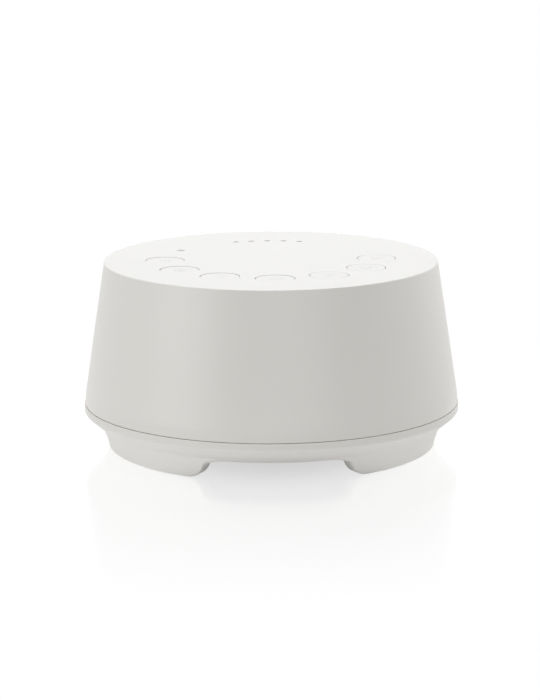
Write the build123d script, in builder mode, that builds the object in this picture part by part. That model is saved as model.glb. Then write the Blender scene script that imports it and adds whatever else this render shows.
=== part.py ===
"""White noise sound machine: a round table-top housing with seven push buttons and a loudspeaker that fires down.

The frame has its origin on the table under the centre, +Z up and the front at -Y. Sizes are in millimetres and
angles in degrees, counted anticlockwise from +X as seen from above. Each sub-part has its own section.
"""

import os
from math import cos, radians, sin, tan

from build123d import *

# ---- Driving dimensions: housing ----
height = 74.8  # table to the flat top
top_radius = 67.0
seam_radius = 75.1  # upper housing at the seam
seam_z = 17.5  # middle of the shadow gap between the two housings
seam_gap = 0.4
top_edge = 0.6  # break on the top's rim
wall = 2.4
panel = 2.4  # thickness of the flat top
lip_proud = 0.3  # of the lower housing's lip past the upper housing
lip_height = 3.1
underside_reach = 7.8  # of the sloping underside, in from the lip
floor_z = 8.3  # underside of the floor, between the feet
floor = 2.5
tongue_height = 3.1  # of the rim that stands inside the upper housing
tongue = 2.0
tongue_fit = 0.15

# ---- Driving dimensions: catches that hold the two housings together ----
catch_angles = (0, 60, 120, 180, 240, 300)
catch_width = 8.0
catch_thickness = 1.6
catch_grip = 0.8  # of a catch's nose over its ledge
catch_nose = 2.0  # height of the nose
catch_fit = 0.15
ledge_height = 2.0
ledge_gap = 0.6  # above the tongue
ledge_margin = 1.0  # of a ledge past its catch, on each side

# ---- Driving dimensions: feet ----
foot_z = 0.5  # the moulding stands this far up, on its pads
foot_step = 1.6  # from the floor's edge in to the foot's outer wall, at the bottom
foot_thickness = 7.0  # at the bottom
foot_draft = 17.0  # slope of the outer wall
foot_half_angle = 65.1  # each side of +X and of -X, which leaves the front and rear gaps
foot_end_rounding = 7.4
pad_inset_angle = 21.1  # from the end of a foot to the middle of a pad
pad_length = 14.0
pad_width = 4.6
pad_thickness = 1.5
pad_fit = 0.1

# ---- Driving dimensions: buttons ----
button_names = ("power", "timer", "volume_down", "play", "volume_up", "previous", "next")
button_start = 180.0
button_pitch = 30.0
button_circle = 42.3
button_radius = 7.8
button_gap = 0.2  # between a cap and its hole, all round
button_drop = 0.15  # of the cap's top below the housing's
tab_reach = 1.1  # of the two retaining tabs past the cap
tab_width = 4.0
tab_thickness = 1.2
stem_width = 5.0
stem_web = 1.4

# ---- Driving dimensions: windows and light guides ----
window_circle = 42.5
window_radius = 1.0
window_count = 5
window_pitch = 9.0
power_window_angle = 149.0
power_window_radius = 1.5
guide_bar = 2.0  # thickness of the bar under the top
guide_width = 4.4
guide_end_angle = 3.0  # of the bar past its last window
led_height = 0.8
led_side = 1.6
led_gap = 0.2  # between a light source and its guide

# ---- Driving dimensions: board and keypad ----
board = 1.6
board_drop = 9.4  # from the underside of the top down to the board
board_margin = 2.5  # between the board's corners and the wall
board_post_at = ((0.0, 0.0), (-30.0, 32.0), (32.0, 32.0))
board_post_side = 6.0
peg_side = 3.0  # of the square pegs that go through the board
peg_fit = 0.1
peg_head = 1.2  # of a peg past the board
keypad_sheet = 1.0
keypad_width = 14.0
dome_side = 9.0
dome_height = 2.0
dome_slope = 35.0

# ---- Driving dimensions: rear inlet ----
port_rise = 9.7  # from the lip up to the port's middle
port_radius = 3.5
jack_width = 9.0
jack_height = 11.0
jack_length = 14.0
jack_bore_radius = 3.0
jack_bore_depth = 9.5
jack_pin_radius = 1.0
jack_inset = 0.4  # from the inner wall to the upper edge of the jack's face
cradle_wall = 1.6
cradle_fit = 0.1

# ---- Driving dimensions: loudspeaker, lying face down ----
flange_side = 72.0
flange_corner = 12.0
flange = 1.2
flange_rim = 5.5  # from the middle of a side to the round opening
speaker_seat = 2.4  # height of the square seat that the flange lies on
seat_wall = 3.0
surround = 0.5
surround_width = 3.0  # open part, between the frame and the diaphragm
surround_overlap = 1.5
diaphragm = 0.8
former_radius = 9.1
former_gap = 0.7  # round the former, in the frame's plate
former_reach = 1.8  # of the former into the plate
motor_rise = 10.6  # from the flange up to the plate that carries the motor
motor_plate = 3.0
motor_radius = 18.0
motor_height = 10.5
motor_margin = 2.0  # of the plate past the motor
arm_width = 8.0
arm_foot = 4.0
hook_width = 8.0
hook = 1.6
hook_fit = 0.15

# ---- Driving dimensions: grille ----
slot_width = 2.4
slot_pitch = 6.4

# ---- Driving dimensions: parts on the board and leads ----
chip_size = (9.0, 9.0, 1.4)
chip_at = (14.0, -6.0)
amplifier_size = (6.0, 5.0, 1.6)
amplifier_at = (-16.0, -14.0)
capacitor_radius = 3.0
capacitor_height = 8.0
capacitor_at = (-30.0, 10.0)
socket_size = (8.0, 6.0, 6.0)
terminal_inset = 2.0  # from the flange's left side
terminal_y = -14.0
terminal_size = (1.7, 4.6, 5.0)
lead_width = 2.6
lead_thickness = 1.3
lead_bend = 6.0
lead_slack = 8.0  # sideways, between a lead's two ends
power_lead_run = 18.0  # from the jack to below its socket

# ---- Worked out from them: heights ----
upper_edge_z = seam_z + seam_gap / 2
lip_top_z = seam_z - seam_gap / 2
lip_bottom_z = lip_top_z - lip_height
tongue_top_z = lip_top_z + tongue_height
ledge_z = tongue_top_z + ledge_gap
nose_z = ledge_z + ledge_height + catch_fit
catch_top_z = nose_z + catch_nose
ceiling_z = height - panel
floor_top_z = floor_z + floor
foot_top_z = floor_z + floor / 2
board_top_z = ceiling_z - board_drop
board_z = board_top_z - board
socket_z = board_z - socket_size[2]
cap_top_z = height - button_drop
tab_z = ceiling_z - tab_thickness
keypad_top_z = board_top_z + keypad_sheet
dome_top_z = keypad_top_z + dome_height
guide_z = ceiling_z - guide_bar
led_top_z = board_top_z + led_height
port_z = lip_top_z + port_rise
shelf_z = port_z - jack_height / 2
seat_top_z = floor_top_z + speaker_seat
flange_top_z = seat_top_z + flange
motor_z = flange_top_z + motor_rise
motor_seat_z = motor_z + motor_plate

# ---- Worked out from them: radii, angles and places ----
taper = (seam_radius - top_radius) / (height - upper_edge_z)
lip_radius = seam_radius + lip_proud
floor_edge_radius = lip_radius - underside_reach
foot_outer_radius = floor_edge_radius - foot_step
foot_inner_radius = foot_outer_radius - foot_thickness
foot_top_radius = foot_outer_radius + (foot_top_z - foot_z) * tan(radians(foot_draft))
foot_sides = (0, 180)
pad_circle = (foot_outer_radius + foot_inner_radius) / 2
pad_angles = [side + s * (foot_half_angle - pad_inset_angle) for side in foot_sides for s in (-1, 1)]
button_angles = [button_start + i * button_pitch for i in range(len(button_names))]
window_angles = [90 + (i - (window_count - 1) / 2) * window_pitch for i in range(window_count)]
frame_opening = flange_side / 2 - flange_rim
slot_count = 2 * int((frame_opening - slot_width) / slot_pitch) + 1
diaphragm_radius = frame_opening - surround_width
plate_hole_radius = former_radius + former_gap
plate_side = 2 * (motor_radius + motor_margin)
terminal_at = (terminal_inset - flange_side / 2, terminal_y)
speaker_socket_at = (terminal_at[0] - lead_slack, terminal_y)


def outer_radius(z):
    """Radius of the upper housing's outer wall at a height."""
    return top_radius + (height - z) * taper


def inner_radius(z):
    """Radius of the upper housing's inner wall at a height."""
    return outer_radius(z) - wall


def radial_plane(angle):
    """Upright plane through the axis: its x runs outwards at this angle and its y runs up."""
    a = radians(angle)
    return Plane(origin=(0, 0, 0), x_dir=(cos(a), sin(a), 0), z_dir=(sin(a), -cos(a), 0))


def polar(radius, angle, z=0.0):
    """Point at a radius, an angle and a height."""
    return (radius * cos(radians(angle)), radius * sin(radians(angle)), z)


def turned(radius, angle):
    """Place at a radius and an angle, turned to face outwards."""
    return Location(polar(radius, angle), (0, 0, angle))


def finish(part, name):
    """Label a finished sub-part and write it."""
    part.label = name
    export_step(part, f"parts/{name}.step")


def hang_block(at, size, name):
    """Write a block that hangs from the board's underside."""
    with BuildPart() as block:
        with BuildSketch(Plane.XY.offset(board_z)):
            with Locations(at):
                Rectangle(size[0], size[1])
        extrude(amount=-size[2])
    finish(block.part, name)


tongue_radius = inner_radius(tongue_top_z) - tongue_fit
nose_radius = inner_radius(catch_top_z) - tongue_fit
catch_radius = nose_radius - catch_grip  # outer face of a catch, under its nose
board_radius = inner_radius(board_z) - board_margin
jack_y = inner_radius(port_z + jack_height / 2) - jack_inset
jack_back_y = jack_y - jack_length
power_socket_at = (0.0, jack_back_y - power_lead_run)
os.makedirs("parts", exist_ok=True)

# ---- Upper housing: flat top, tapered wall, ledges for the catches and pegs for the board ----
with BuildPart() as upper_housing:
    with BuildSketch(Plane.XZ):
        with BuildLine():
            Polyline(
                (0, height),
                (top_radius, height),
                (seam_radius, upper_edge_z),
                (inner_radius(upper_edge_z), upper_edge_z),
                (inner_radius(ceiling_z), ceiling_z),
                (0, ceiling_z),
                close=True,
            )
        make_face()
    revolve(axis=Axis.Z)
    rim = upper_housing.edges().filter_by(GeomType.CIRCLE).group_by(Axis.Z)[-1]
    chamfer(rim, length=top_edge)

    # posts down to the board, each with a square peg that goes through it
    with BuildSketch(Plane.XY.offset(board_top_z)):
        with Locations(board_post_at):
            Rectangle(board_post_side, board_post_side)
    extrude(amount=ceiling_z - board_top_z)
    with BuildSketch(Plane.XY.offset(board_z - peg_head)):
        with Locations(board_post_at):
            Rectangle(peg_side, peg_side)
    extrude(amount=board + peg_head)

    # ledges on the inner wall
    ledge_in = catch_radius + catch_fit
    ledge_out = inner_radius(ledge_z) + wall / 2
    for angle in catch_angles:
        with BuildSketch(radial_plane(angle)):
            with Locations(((ledge_in + ledge_out) / 2, ledge_z + ledge_height / 2)):
                Rectangle(ledge_out - ledge_in, ledge_height)
        extrude(amount=catch_width / 2 + ledge_margin, both=True)

    # port in the rear wall, and the holes for the buttons and the windows
    with BuildSketch(Plane(origin=(0, 0, port_z), x_dir=(1, 0, 0), z_dir=(0, 1, 0))):
        Circle(port_radius)
    extrude(amount=lip_radius, mode=Mode.SUBTRACT)
    with Locations([polar(button_circle, a, height) for a in button_angles]):
        Hole(button_radius + button_gap, depth=panel)
    with Locations([polar(window_circle, a, height) for a in window_angles]):
        Hole(window_radius, depth=panel)
    with Locations(polar(window_circle, power_window_angle, height)):
        Hole(power_window_radius, depth=panel)
finish(upper_housing.part, "upper_housing")

# ---- Lower housing: lip, underside, two curved feet, grille, seats, catches and cradle ----
with BuildPart() as lower_housing:
    # one foot, with its two ends rounded up into the gaps
    with BuildSketch(radial_plane(-foot_half_angle)):
        with BuildLine():
            Polyline(
                (foot_inner_radius, foot_z),
                (foot_outer_radius, foot_z),
                (foot_top_radius, foot_top_z),
                (foot_inner_radius, foot_top_z),
                close=True,
            )
        make_face()
    revolve(axis=Axis.Z, revolution_arc=2 * foot_half_angle)
    ends = lower_housing.edges().filter_by(GeomType.LINE).group_by(Axis.Z)[0]
    fillet(ends, radius=foot_end_rounding)
    mirror(about=Plane.YZ)

    # recesses for the pads
    with BuildSketch(Plane.XY):
        for angle in pad_angles:
            with Locations(turned(pad_circle, angle)):
                Rectangle(pad_width + 2 * pad_fit, pad_length + 2 * pad_fit)
    extrude(amount=pad_thickness, mode=Mode.SUBTRACT)

    # pan with its lip, and the tongue that centres the upper housing
    with BuildSketch(Plane.XZ):
        with BuildLine():
            Polyline(
                (0, floor_z),
                (floor_edge_radius, floor_z),
                (lip_radius, lip_bottom_z),
                (lip_radius, lip_top_z),
                (tongue_radius, lip_top_z),
                (tongue_radius, tongue_top_z),
                (tongue_radius - tongue, tongue_top_z),
                (floor_edge_radius - tongue, floor_top_z),
                (0, floor_top_z),
                close=True,
            )
        make_face()
    revolve(axis=Axis.Z)

    # catches behind the tongue, whose noses snap over the upper housing's ledges
    for angle in catch_angles:
        with BuildSketch(radial_plane(angle)):
            with BuildLine():
                Polyline(
                    (catch_radius - catch_thickness, lip_bottom_z),
                    (catch_radius, lip_bottom_z),
                    (catch_radius, nose_z),
                    (nose_radius, nose_z),
                    (catch_radius, catch_top_z),
                    (catch_radius - catch_thickness, catch_top_z),
                    close=True,
                )
            make_face()
        extrude(amount=catch_width / 2, both=True)

    # square seat under the loudspeaker's flange, and a hook at the middle of each side
    seat_side = flange_side - 2 * hook_fit
    with BuildSketch(Plane.XY.offset(floor_top_z)):
        Rectangle(seat_side, seat_side)
        Rectangle(seat_side - 2 * seat_wall, seat_side - 2 * seat_wall, mode=Mode.SUBTRACT)
    extrude(amount=speaker_seat)
    hook_in = flange_side / 2 + hook_fit
    hook_z = flange_top_z + hook_fit
    for angle in (0, 90, 180, 270):
        with BuildSketch(radial_plane(angle)):
            with BuildLine():
                Polyline(
                    (hook_in, floor_top_z),
                    (hook_in + hook, floor_top_z),
                    (hook_in + hook, hook_z + 2 * hook),
                    (hook_in - hook, hook_z),
                    (hook_in, hook_z),
                    close=True,
                )
            make_face()
        extrude(amount=hook_width / 2, both=True)

    # cradle that holds the inlet's jack on a shelf, between two walls and against a third
    cradle_back_y = jack_back_y - cradle_fit - cradle_wall
    cradle_front_y = jack_back_y + jack_length / 2
    with BuildSketch(Plane.XY.offset(floor_top_z)):
        with Locations((0, (cradle_front_y + cradle_back_y) / 2)):
            Rectangle(jack_width + 2 * (cradle_fit + cradle_wall), cradle_front_y - cradle_back_y)
    extrude(amount=port_z - floor_top_z)
    with BuildSketch(Plane.XY.offset(shelf_z)):
        with Locations((0, jack_back_y - cradle_fit + jack_length / 2)):
            Rectangle(jack_width + 2 * cradle_fit, jack_length)
    extrude(amount=jack_height, mode=Mode.SUBTRACT)

    # grille of parallel slots, as wide as the loudspeaker's opening
    with BuildSketch(Plane.XY.offset(floor_z)):
        for i in range(slot_count):
            y = (i - (slot_count - 1) / 2) * slot_pitch
            half_length = (frame_opening**2 - (abs(y) + slot_width / 2) ** 2) ** 0.5
            with Locations((0, y)):
                Rectangle(2 * half_length, slot_width)
    extrude(amount=floor, mode=Mode.SUBTRACT)
finish(lower_housing.part, "lower_housing")

# ---- Foot pads: four rubber blocks under the feet ----
with BuildPart() as foot_pads:
    with BuildSketch(Plane.XY):
        for angle in pad_angles:
            with Locations(turned(pad_circle, angle)):
                Rectangle(pad_width, pad_length)
    extrude(amount=pad_thickness)
finish(foot_pads.part, "foot_pads")

# ---- Button caps: round caps with two retaining tabs and a cross-shaped stem ----
for name, angle in zip(button_names, button_angles):
    with BuildPart() as button:
        with BuildSketch(Plane.XY.offset(tab_z)):
            with Locations(turned(button_circle, angle)):
                Circle(button_radius)
        extrude(amount=cap_top_z - tab_z)
        with BuildSketch(Plane.XY.offset(tab_z)):
            with Locations(turned(button_circle, angle)):
                Rectangle(tab_width, 2 * (button_radius + tab_reach))
        extrude(amount=tab_thickness)
        with BuildSketch(Plane.XY.offset(dome_top_z)):
            with Locations(turned(button_circle, angle)):
                Rectangle(stem_width, stem_web)
                Rectangle(stem_web, stem_width)
        extrude(amount=tab_z - dome_top_z)
    finish(button.part, f"{name}_button")

# ---- Board: octagonal, staked on the square pegs ----
with BuildPart() as main_board:
    with BuildSketch(Plane.XY.offset(board_z)):
        RegularPolygon(board_radius, 8, rotation=22.5)
        with Locations(board_post_at):
            Rectangle(peg_side + 2 * peg_fit, peg_side + 2 * peg_fit, mode=Mode.SUBTRACT)
    extrude(amount=board)
finish(main_board.part, "main_board")

# ---- Keypad: silicone strip that follows the buttons, with a spring dome under each stem ----
with BuildPart() as keypad:
    with BuildSketch(Plane.XY.offset(board_top_z)):
        with BuildLine():
            outer = [polar(button_circle + keypad_width / 2, a) for a in button_angles]
            inner = [polar(button_circle - keypad_width / 2, a) for a in reversed(button_angles)]
            Polyline(*outer, *inner, close=True)
        make_face()
    extrude(amount=keypad_sheet)
    for angle in button_angles:
        with BuildSketch(Plane.XY.offset(keypad_top_z)):
            with Locations(turned(button_circle, angle)):
                Rectangle(dome_side, dome_side)
        extrude(amount=dome_height, taper=dome_slope)
finish(keypad.part, "keypad")

# ---- Light guides: clear bars under the windows, with a leg down to each light ----
with BuildPart() as timer_light_guide:
    with BuildSketch(Plane.XY.offset(guide_z)):
        with BuildLine():
            bar_ends = (window_angles[0] - guide_end_angle, window_angles[-1] + guide_end_angle)
            bar_angles = [bar_ends[0], *window_angles, bar_ends[1]]
            outer = [polar(window_circle + guide_width / 2, a) for a in bar_angles]
            inner = [polar(window_circle - guide_width / 2, a) for a in reversed(bar_angles)]
            Polyline(*outer, *inner, close=True)
        make_face()
    extrude(amount=guide_bar)
    with BuildSketch(Plane.XY.offset(led_top_z + led_gap)):
        for angle in window_angles:
            with Locations(turned(window_circle, angle)):
                Rectangle(led_side, led_side)
    extrude(amount=guide_z - led_top_z - led_gap)
finish(timer_light_guide.part, "timer_light_guide")

with BuildPart() as power_light_guide:
    with BuildSketch(Plane.XY.offset(guide_z)):
        with Locations(turned(window_circle, power_window_angle)):
            Rectangle(guide_width, guide_width)
    extrude(amount=guide_bar)
    with BuildSketch(Plane.XY.offset(led_top_z + led_gap)):
        with Locations(turned(window_circle, power_window_angle)):
            Rectangle(led_side, led_side)
    extrude(amount=guide_z - led_top_z - led_gap)
finish(power_light_guide.part, "power_light_guide")

# ---- Parts on the board: lights on top, the rest underneath ----
with BuildPart() as indicator_leds:
    with BuildSketch(Plane.XY.offset(board_top_z)):
        for angle in (*window_angles, power_window_angle):
            with Locations(turned(window_circle, angle)):
                Rectangle(led_side, led_side)
    extrude(amount=led_height)
finish(indicator_leds.part, "indicator_leds")

hang_block(chip_at, chip_size, "controller_chip")
hang_block(amplifier_at, amplifier_size, "amplifier_chip")
hang_block(speaker_socket_at, socket_size, "speaker_socket")
hang_block(power_socket_at, socket_size, "power_socket")

with BuildPart() as smoothing_capacitor:
    with BuildSketch(Plane.XY.offset(board_z)):
        with Locations(capacitor_at):
            Circle(capacitor_radius)
    extrude(amount=-capacitor_height)
finish(smoothing_capacitor.part, "smoothing_capacitor")

# ---- Inlet: the jack in its cradle, with the pin in its bore ----
mouth = Plane(origin=(0, jack_y, port_z), x_dir=(1, 0, 0), z_dir=(0, 1, 0))
with BuildPart() as dc_jack:
    with BuildSketch(mouth):
        Rectangle(jack_width, jack_height)
    extrude(amount=-jack_length)
    with BuildSketch(mouth):
        Circle(jack_bore_radius)
    extrude(amount=-jack_bore_depth, mode=Mode.SUBTRACT)
finish(dc_jack.part, "dc_jack")

with BuildPart() as dc_jack_pin:
    with BuildSketch(mouth.offset(-jack_bore_depth)):
        Circle(jack_pin_radius)
    extrude(amount=jack_bore_depth - jack_pin_radius)
finish(dc_jack_pin.part, "dc_jack_pin")

# ---- Loudspeaker frame: square flange with a round opening, four arms and the plate for the motor ----
with BuildPart() as speaker_frame:
    with BuildSketch(Plane.XY.offset(seat_top_z)):
        Rectangle(flange_side, flange_side)
        chamfer(vertices(), length=flange_corner)
        Circle(frame_opening, mode=Mode.SUBTRACT)
    extrude(amount=flange)
    with BuildSketch(Plane.XY.offset(motor_z)):
        Rectangle(plate_side, plate_side)
    extrude(amount=motor_plate)
    flange_tip = (flange_side - flange_corner) / 2**0.5
    plate_tip = plate_side / 2**0.5
    for angle in (45, 135, 225, 315):
        with BuildSketch(radial_plane(angle)):
            with BuildLine():
                Polyline(
                    (flange_tip - arm_foot, flange_top_z),
                    (flange_tip, flange_top_z),
                    (plate_tip, motor_seat_z),
                    (plate_tip - arm_foot, motor_seat_z),
                    (plate_tip - arm_foot, motor_z),
                    close=True,
                )
            make_face()
        extrude(amount=arm_width / 2, both=True)
    with BuildSketch(Plane.XY.offset(motor_z)):
        Circle(plate_hole_radius)
    extrude(amount=motor_plate, mode=Mode.SUBTRACT)
finish(speaker_frame.part, "speaker_frame")

# ---- Motor: a closed steel can round the magnet, on the frame's plate ----
with BuildPart() as speaker_yoke:
    with BuildSketch(Plane.XY.offset(motor_seat_z)):
        Circle(motor_radius)
    extrude(amount=motor_height)
finish(speaker_yoke.part, "speaker_yoke")

# ---- Diaphragm, with the former that carries the coil up into the plate's hole ----
with BuildPart() as speaker_cone:
    with BuildSketch(Plane.XY.offset(seat_top_z)):
        Circle(diaphragm_radius)
    extrude(amount=diaphragm)
    with BuildSketch(Plane.XY.offset(seat_top_z)):
        Circle(former_radius)
    extrude(amount=motor_z + former_reach - seat_top_z)
finish(speaker_cone.part, "speaker_cone")

# ---- Surround: flat rubber ring that carries the diaphragm under the flange ----
with BuildPart() as speaker_surround:
    with BuildSketch(Plane.XY.offset(seat_top_z - surround)):
        Circle(frame_opening + surround_overlap)
        Circle(diaphragm_radius - surround_overlap, mode=Mode.SUBTRACT)
    extrude(amount=surround)
finish(speaker_surround.part, "speaker_surround")

# ---- Leads: flat twin wires from the loudspeaker's terminals and from the jack to their sockets ----
with BuildPart() as speaker_terminals:
    with BuildSketch(Plane.XY.offset(flange_top_z)):
        with Locations(terminal_at):
            Rectangle(terminal_size[0], terminal_size[1])
    extrude(amount=terminal_size[2])
finish(speaker_terminals.part, "speaker_terminals")

lead_start_z = flange_top_z + terminal_size[2]
lead_middle_z = (lead_start_z + socket_z) / 2
with BuildPart() as speaker_lead:
    with BuildLine(Plane(origin=(0, terminal_y, 0), x_dir=(1, 0, 0), z_dir=(0, -1, 0))):
        FilletPolyline(
            (terminal_at[0], lead_start_z),
            (terminal_at[0], lead_middle_z - lead_slack / 2),
            (speaker_socket_at[0], lead_middle_z + lead_slack / 2),
            (speaker_socket_at[0], socket_z),
            radius=lead_bend,
        )
    with BuildSketch(Plane.XY.offset(lead_start_z)):
        with Locations(terminal_at):
            Rectangle(lead_thickness, lead_width)
    sweep()
finish(speaker_lead.part, "speaker_lead")

lead_z = port_z + lead_thickness
with BuildPart() as power_lead:
    with BuildLine(Plane.YZ):
        FilletPolyline(
            (jack_back_y, lead_z),
            (power_socket_at[1], lead_z),
            (power_socket_at[1], socket_z),
            radius=lead_bend,
        )
    with BuildSketch(Plane(origin=(0, jack_back_y, lead_z), x_dir=(1, 0, 0), z_dir=(0, -1, 0))):
        Rectangle(lead_width, lead_thickness)
    sweep()
finish(power_lead.part, "power_lead")
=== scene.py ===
"""Visual model of a round white noise sound machine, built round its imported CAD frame.

Every size in the classes is in millimetres, and the meshes are made in metres.
"""

from __future__ import annotations

import logging
import math
from dataclasses import dataclass
from enum import Enum
from typing import Iterable, Sequence

import bmesh
import bpy
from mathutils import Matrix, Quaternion, Vector
from mathutils.geometry import delaunay_2d_cdt

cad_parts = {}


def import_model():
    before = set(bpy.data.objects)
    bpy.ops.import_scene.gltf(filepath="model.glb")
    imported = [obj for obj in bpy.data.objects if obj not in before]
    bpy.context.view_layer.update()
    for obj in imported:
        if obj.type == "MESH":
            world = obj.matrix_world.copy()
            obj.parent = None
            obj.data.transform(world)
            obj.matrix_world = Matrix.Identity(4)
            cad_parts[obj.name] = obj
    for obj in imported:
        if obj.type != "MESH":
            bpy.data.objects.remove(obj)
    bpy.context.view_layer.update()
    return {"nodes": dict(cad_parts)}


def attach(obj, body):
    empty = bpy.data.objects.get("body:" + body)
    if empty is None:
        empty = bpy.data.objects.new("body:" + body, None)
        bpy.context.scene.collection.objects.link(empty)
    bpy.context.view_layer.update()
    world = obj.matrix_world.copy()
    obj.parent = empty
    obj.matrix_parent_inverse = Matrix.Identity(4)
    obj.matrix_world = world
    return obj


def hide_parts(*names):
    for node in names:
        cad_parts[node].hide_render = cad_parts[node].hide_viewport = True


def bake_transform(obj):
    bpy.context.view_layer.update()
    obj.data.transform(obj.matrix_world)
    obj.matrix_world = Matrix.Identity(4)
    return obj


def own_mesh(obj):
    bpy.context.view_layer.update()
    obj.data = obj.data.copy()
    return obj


LOG = logging.getLogger("sound_machine")
MM = 0.001
HOUSING_BODY = "housing"
CONE_BODY = "cone"

# angle in degrees past which an edge stays sharp
CREASE = 32.0
# points round the small turned shapes
SMALL_FACETS = 32

Pair = tuple[float, float]
Point = tuple[float, float, float]
Profile = Sequence[Pair]
Ring = list[int]


# ---------------------------------------------------------------- colour and node helpers


def linear(code: str) -> tuple[float, float, float, float]:
    """Turn an sRGB hex colour into linear light.

    Args:
        code: six hex digits.

    Returns:
        Linear red, green and blue, and an alpha of 1.
    """
    parts = []
    for i in (0, 2, 4):
        value = int(code[i : i + 2], 16) / 255
        parts.append(value / 12.92 if value <= 0.04045 else ((value + 0.055) / 1.055) ** 2.4)
    return (parts[0], parts[1], parts[2], 1.0)


def add_node(
    tree: bpy.types.NodeTree,
    kind: str,
    settings: dict[str, object] | None = None,
    values: dict[str | int, object] | None = None,
    links: dict[str | int, bpy.types.NodeSocket] | None = None,
) -> bpy.types.Node:
    """Add one node with its settings, socket values and incoming links.

    Args:
        tree: node tree that the node goes into.
        kind: Blender's name of the node type.
        settings: attributes of the node.
        values: constants for its input sockets, by name or number.
        links: output sockets to join to its inputs, by name or number.

    Returns:
        The new node.
    """
    node = tree.nodes.new(kind)
    for key, value in (settings or {}).items():
        setattr(node, key, value)
    for key, value in (values or {}).items():
        node.inputs[key].default_value = value
    for key, source in (links or {}).items():
        tree.links.new(source, node.inputs[key])
    return node


def empty_material(name: str) -> tuple[bpy.types.Material, bpy.types.NodeTree]:
    """Make a material with an empty node tree.

    Args:
        name: name of the material.

    Returns:
        The material and its node tree.
    """
    material = bpy.data.materials.new(name)
    material.use_nodes = True
    material.node_tree.nodes.clear()
    return material, material.node_tree


def surface_output(tree: bpy.types.NodeTree, shader: bpy.types.Node) -> None:
    """Join a shader to the material's surface."""
    add_node(tree, "ShaderNodeOutputMaterial", links={"Surface": shader.outputs[0]})


# ---------------------------------------------------------------- finishes


@dataclass(frozen=True)
class Finish:
    """A surface: a shader with a slow tonal drift and a fine grain from how it was made.

    Attributes:
        name: material name, after the real material and how it was made.
        colour: sRGB hex of the surface.
        drift_colour: sRGB hex that the colour drifts towards in soft patches.
        roughness: middle of the roughness.
        roughness_spread: how far the roughness wanders on each side.
        grain: size of the surface grain in millimetres.
        relief: height of the grain in millimetres.
        metallic: 1 for bare metal.
        ior: index of refraction, left alone on a metal.
        subsurface: share of light that enters and comes out again.
        drift: size of the tonal patches in millimetres.
        coat: weight of a clear layer on top.
    """

    name: str
    colour: str
    drift_colour: str
    roughness: float
    roughness_spread: float
    grain: float
    relief: float
    metallic: float = 0.0
    ior: float = 1.5
    subsurface: float = 0.0
    drift: float = 30.0
    coat: float = 0.0

    # how far light travels under the skin in millimetres, and the share of that for each colour
    SCATTER = 1.2
    SCATTER_SHARES = (1.0, 0.9, 0.75)
    COAT_ROUGHNESS = 0.12

    def build(self) -> bpy.types.Material:
        """Make the material.

        Returns:
            The finished material.
        """
        material, tree = empty_material(self.name)
        place = add_node(tree, "ShaderNodeTexCoord").outputs["Object"]
        patches, grain = (
            add_node(
                tree,
                "ShaderNodeTexNoise",
                values={"Scale": 1 / (size * MM), "Detail": detail, "Roughness": rough},
                links={"Vector": place},
            ).outputs["Fac"]
            for size, detail, rough in ((self.drift, 2.0, 0.5), (self.grain, 3.0, 0.6))
        )
        tone = add_node(
            tree,
            "ShaderNodeMix",
            {"data_type": "RGBA"},
            {6: linear(self.colour), 7: linear(self.drift_colour)},
            {"Factor": patches},
        )
        low, high = self.roughness - self.roughness_spread, self.roughness + self.roughness_spread
        rough = add_node(
            tree, "ShaderNodeMapRange", values={"To Min": low, "To Max": high}, links={"Value": grain}
        )
        relief = {"Strength": 1.0, "Distance": self.relief * MM}
        bump = add_node(tree, "ShaderNodeBump", values=relief, links={"Height": grain})
        values = {
            "Metallic": self.metallic,
            "Subsurface Weight": self.subsurface,
            "Subsurface Scale": self.SCATTER * MM,
            "Subsurface Radius": self.SCATTER_SHARES,
            "Coat Weight": self.coat,
            "Coat Roughness": self.COAT_ROUGHNESS,
        }
        if not self.metallic:
            values["IOR"] = self.ior
        links = {"Base Color": tone.outputs[2], "Roughness": rough.outputs[0], "Normal": bump.outputs[0]}
        surface_output(tree, add_node(tree, "ShaderNodeBsdfPrincipled", values=values, links=links))
        return material


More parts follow.
